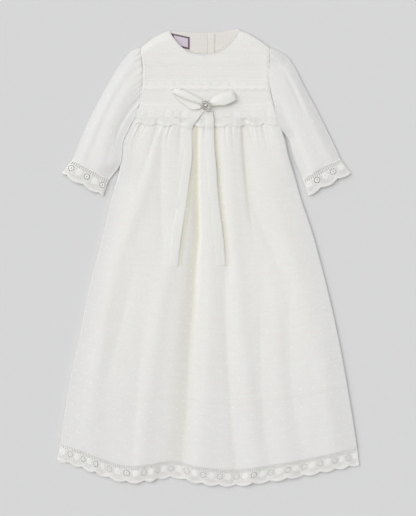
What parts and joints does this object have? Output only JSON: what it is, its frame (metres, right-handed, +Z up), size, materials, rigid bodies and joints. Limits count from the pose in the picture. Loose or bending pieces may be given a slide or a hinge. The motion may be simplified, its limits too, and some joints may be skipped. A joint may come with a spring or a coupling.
{
  "type": "christening gown",
  "caption": "Long-sleeved lined christening gown laid flat, with a tucked bodice, gathered skirt, scalloped lace, ribbon bow and a round brooch.",
  "frame": {"origin": "on the surface under the middle of the gown's outline", "axes": "+Y from the hem to the neck, +X to the right sleeve as seen from above, +Z up from the surface that the gown lies on"},
  "size_m": [0.5292, 0.8026, 0.0207],
  "materials": {
    "plumeti": "dotted swiss cotton over lining, matt",
    "lining": "fine cotton batiste, matt",
    "lace": "cotton bobbin lace",
    "ribbon": "satin ribbon, soft sheen",
    "label": "woven label, plain",
    "silver": "polished",
    "stone": "cut, clear and bright"
  },
  "bodies": {
    "root": {"bodice_front": "plumeti", "bodice_back_left": "lining", "bodice_back_right": "lining", "back_placket": "lining", "neck_label": "label", "sleeve_left": "plumeti", "sleeve_right": "plumeti", "skirt_front": "plumeti", "skirt_back": "plumeti", "yoke_lace": "lace", "waist_lace": "lace", "hem_lace_front": "lace", "hem_lace_back": "lace", "cuff_lace_left_front": "lace", "cuff_lace_left_back": "lace", "cuff_lace_right_front": "lace", "cuff_lace_right_back": "lace", "bow_loop_left": "ribbon", "bow_loop_right": "ribbon", "bow_knot": "ribbon", "bow_tail_left": "ribbon", "bow_tail_right": "ribbon", "brooch_base": "silver", "brooch_stone_centre": "stone", "brooch_stone_1": "stone", "brooch_stone_2": "stone", "brooch_stone_3": "stone", "brooch_stone_4": "stone", "brooch_stone_5": "stone", "brooch_stone_6": "stone"}
  },
  "joints": []
}
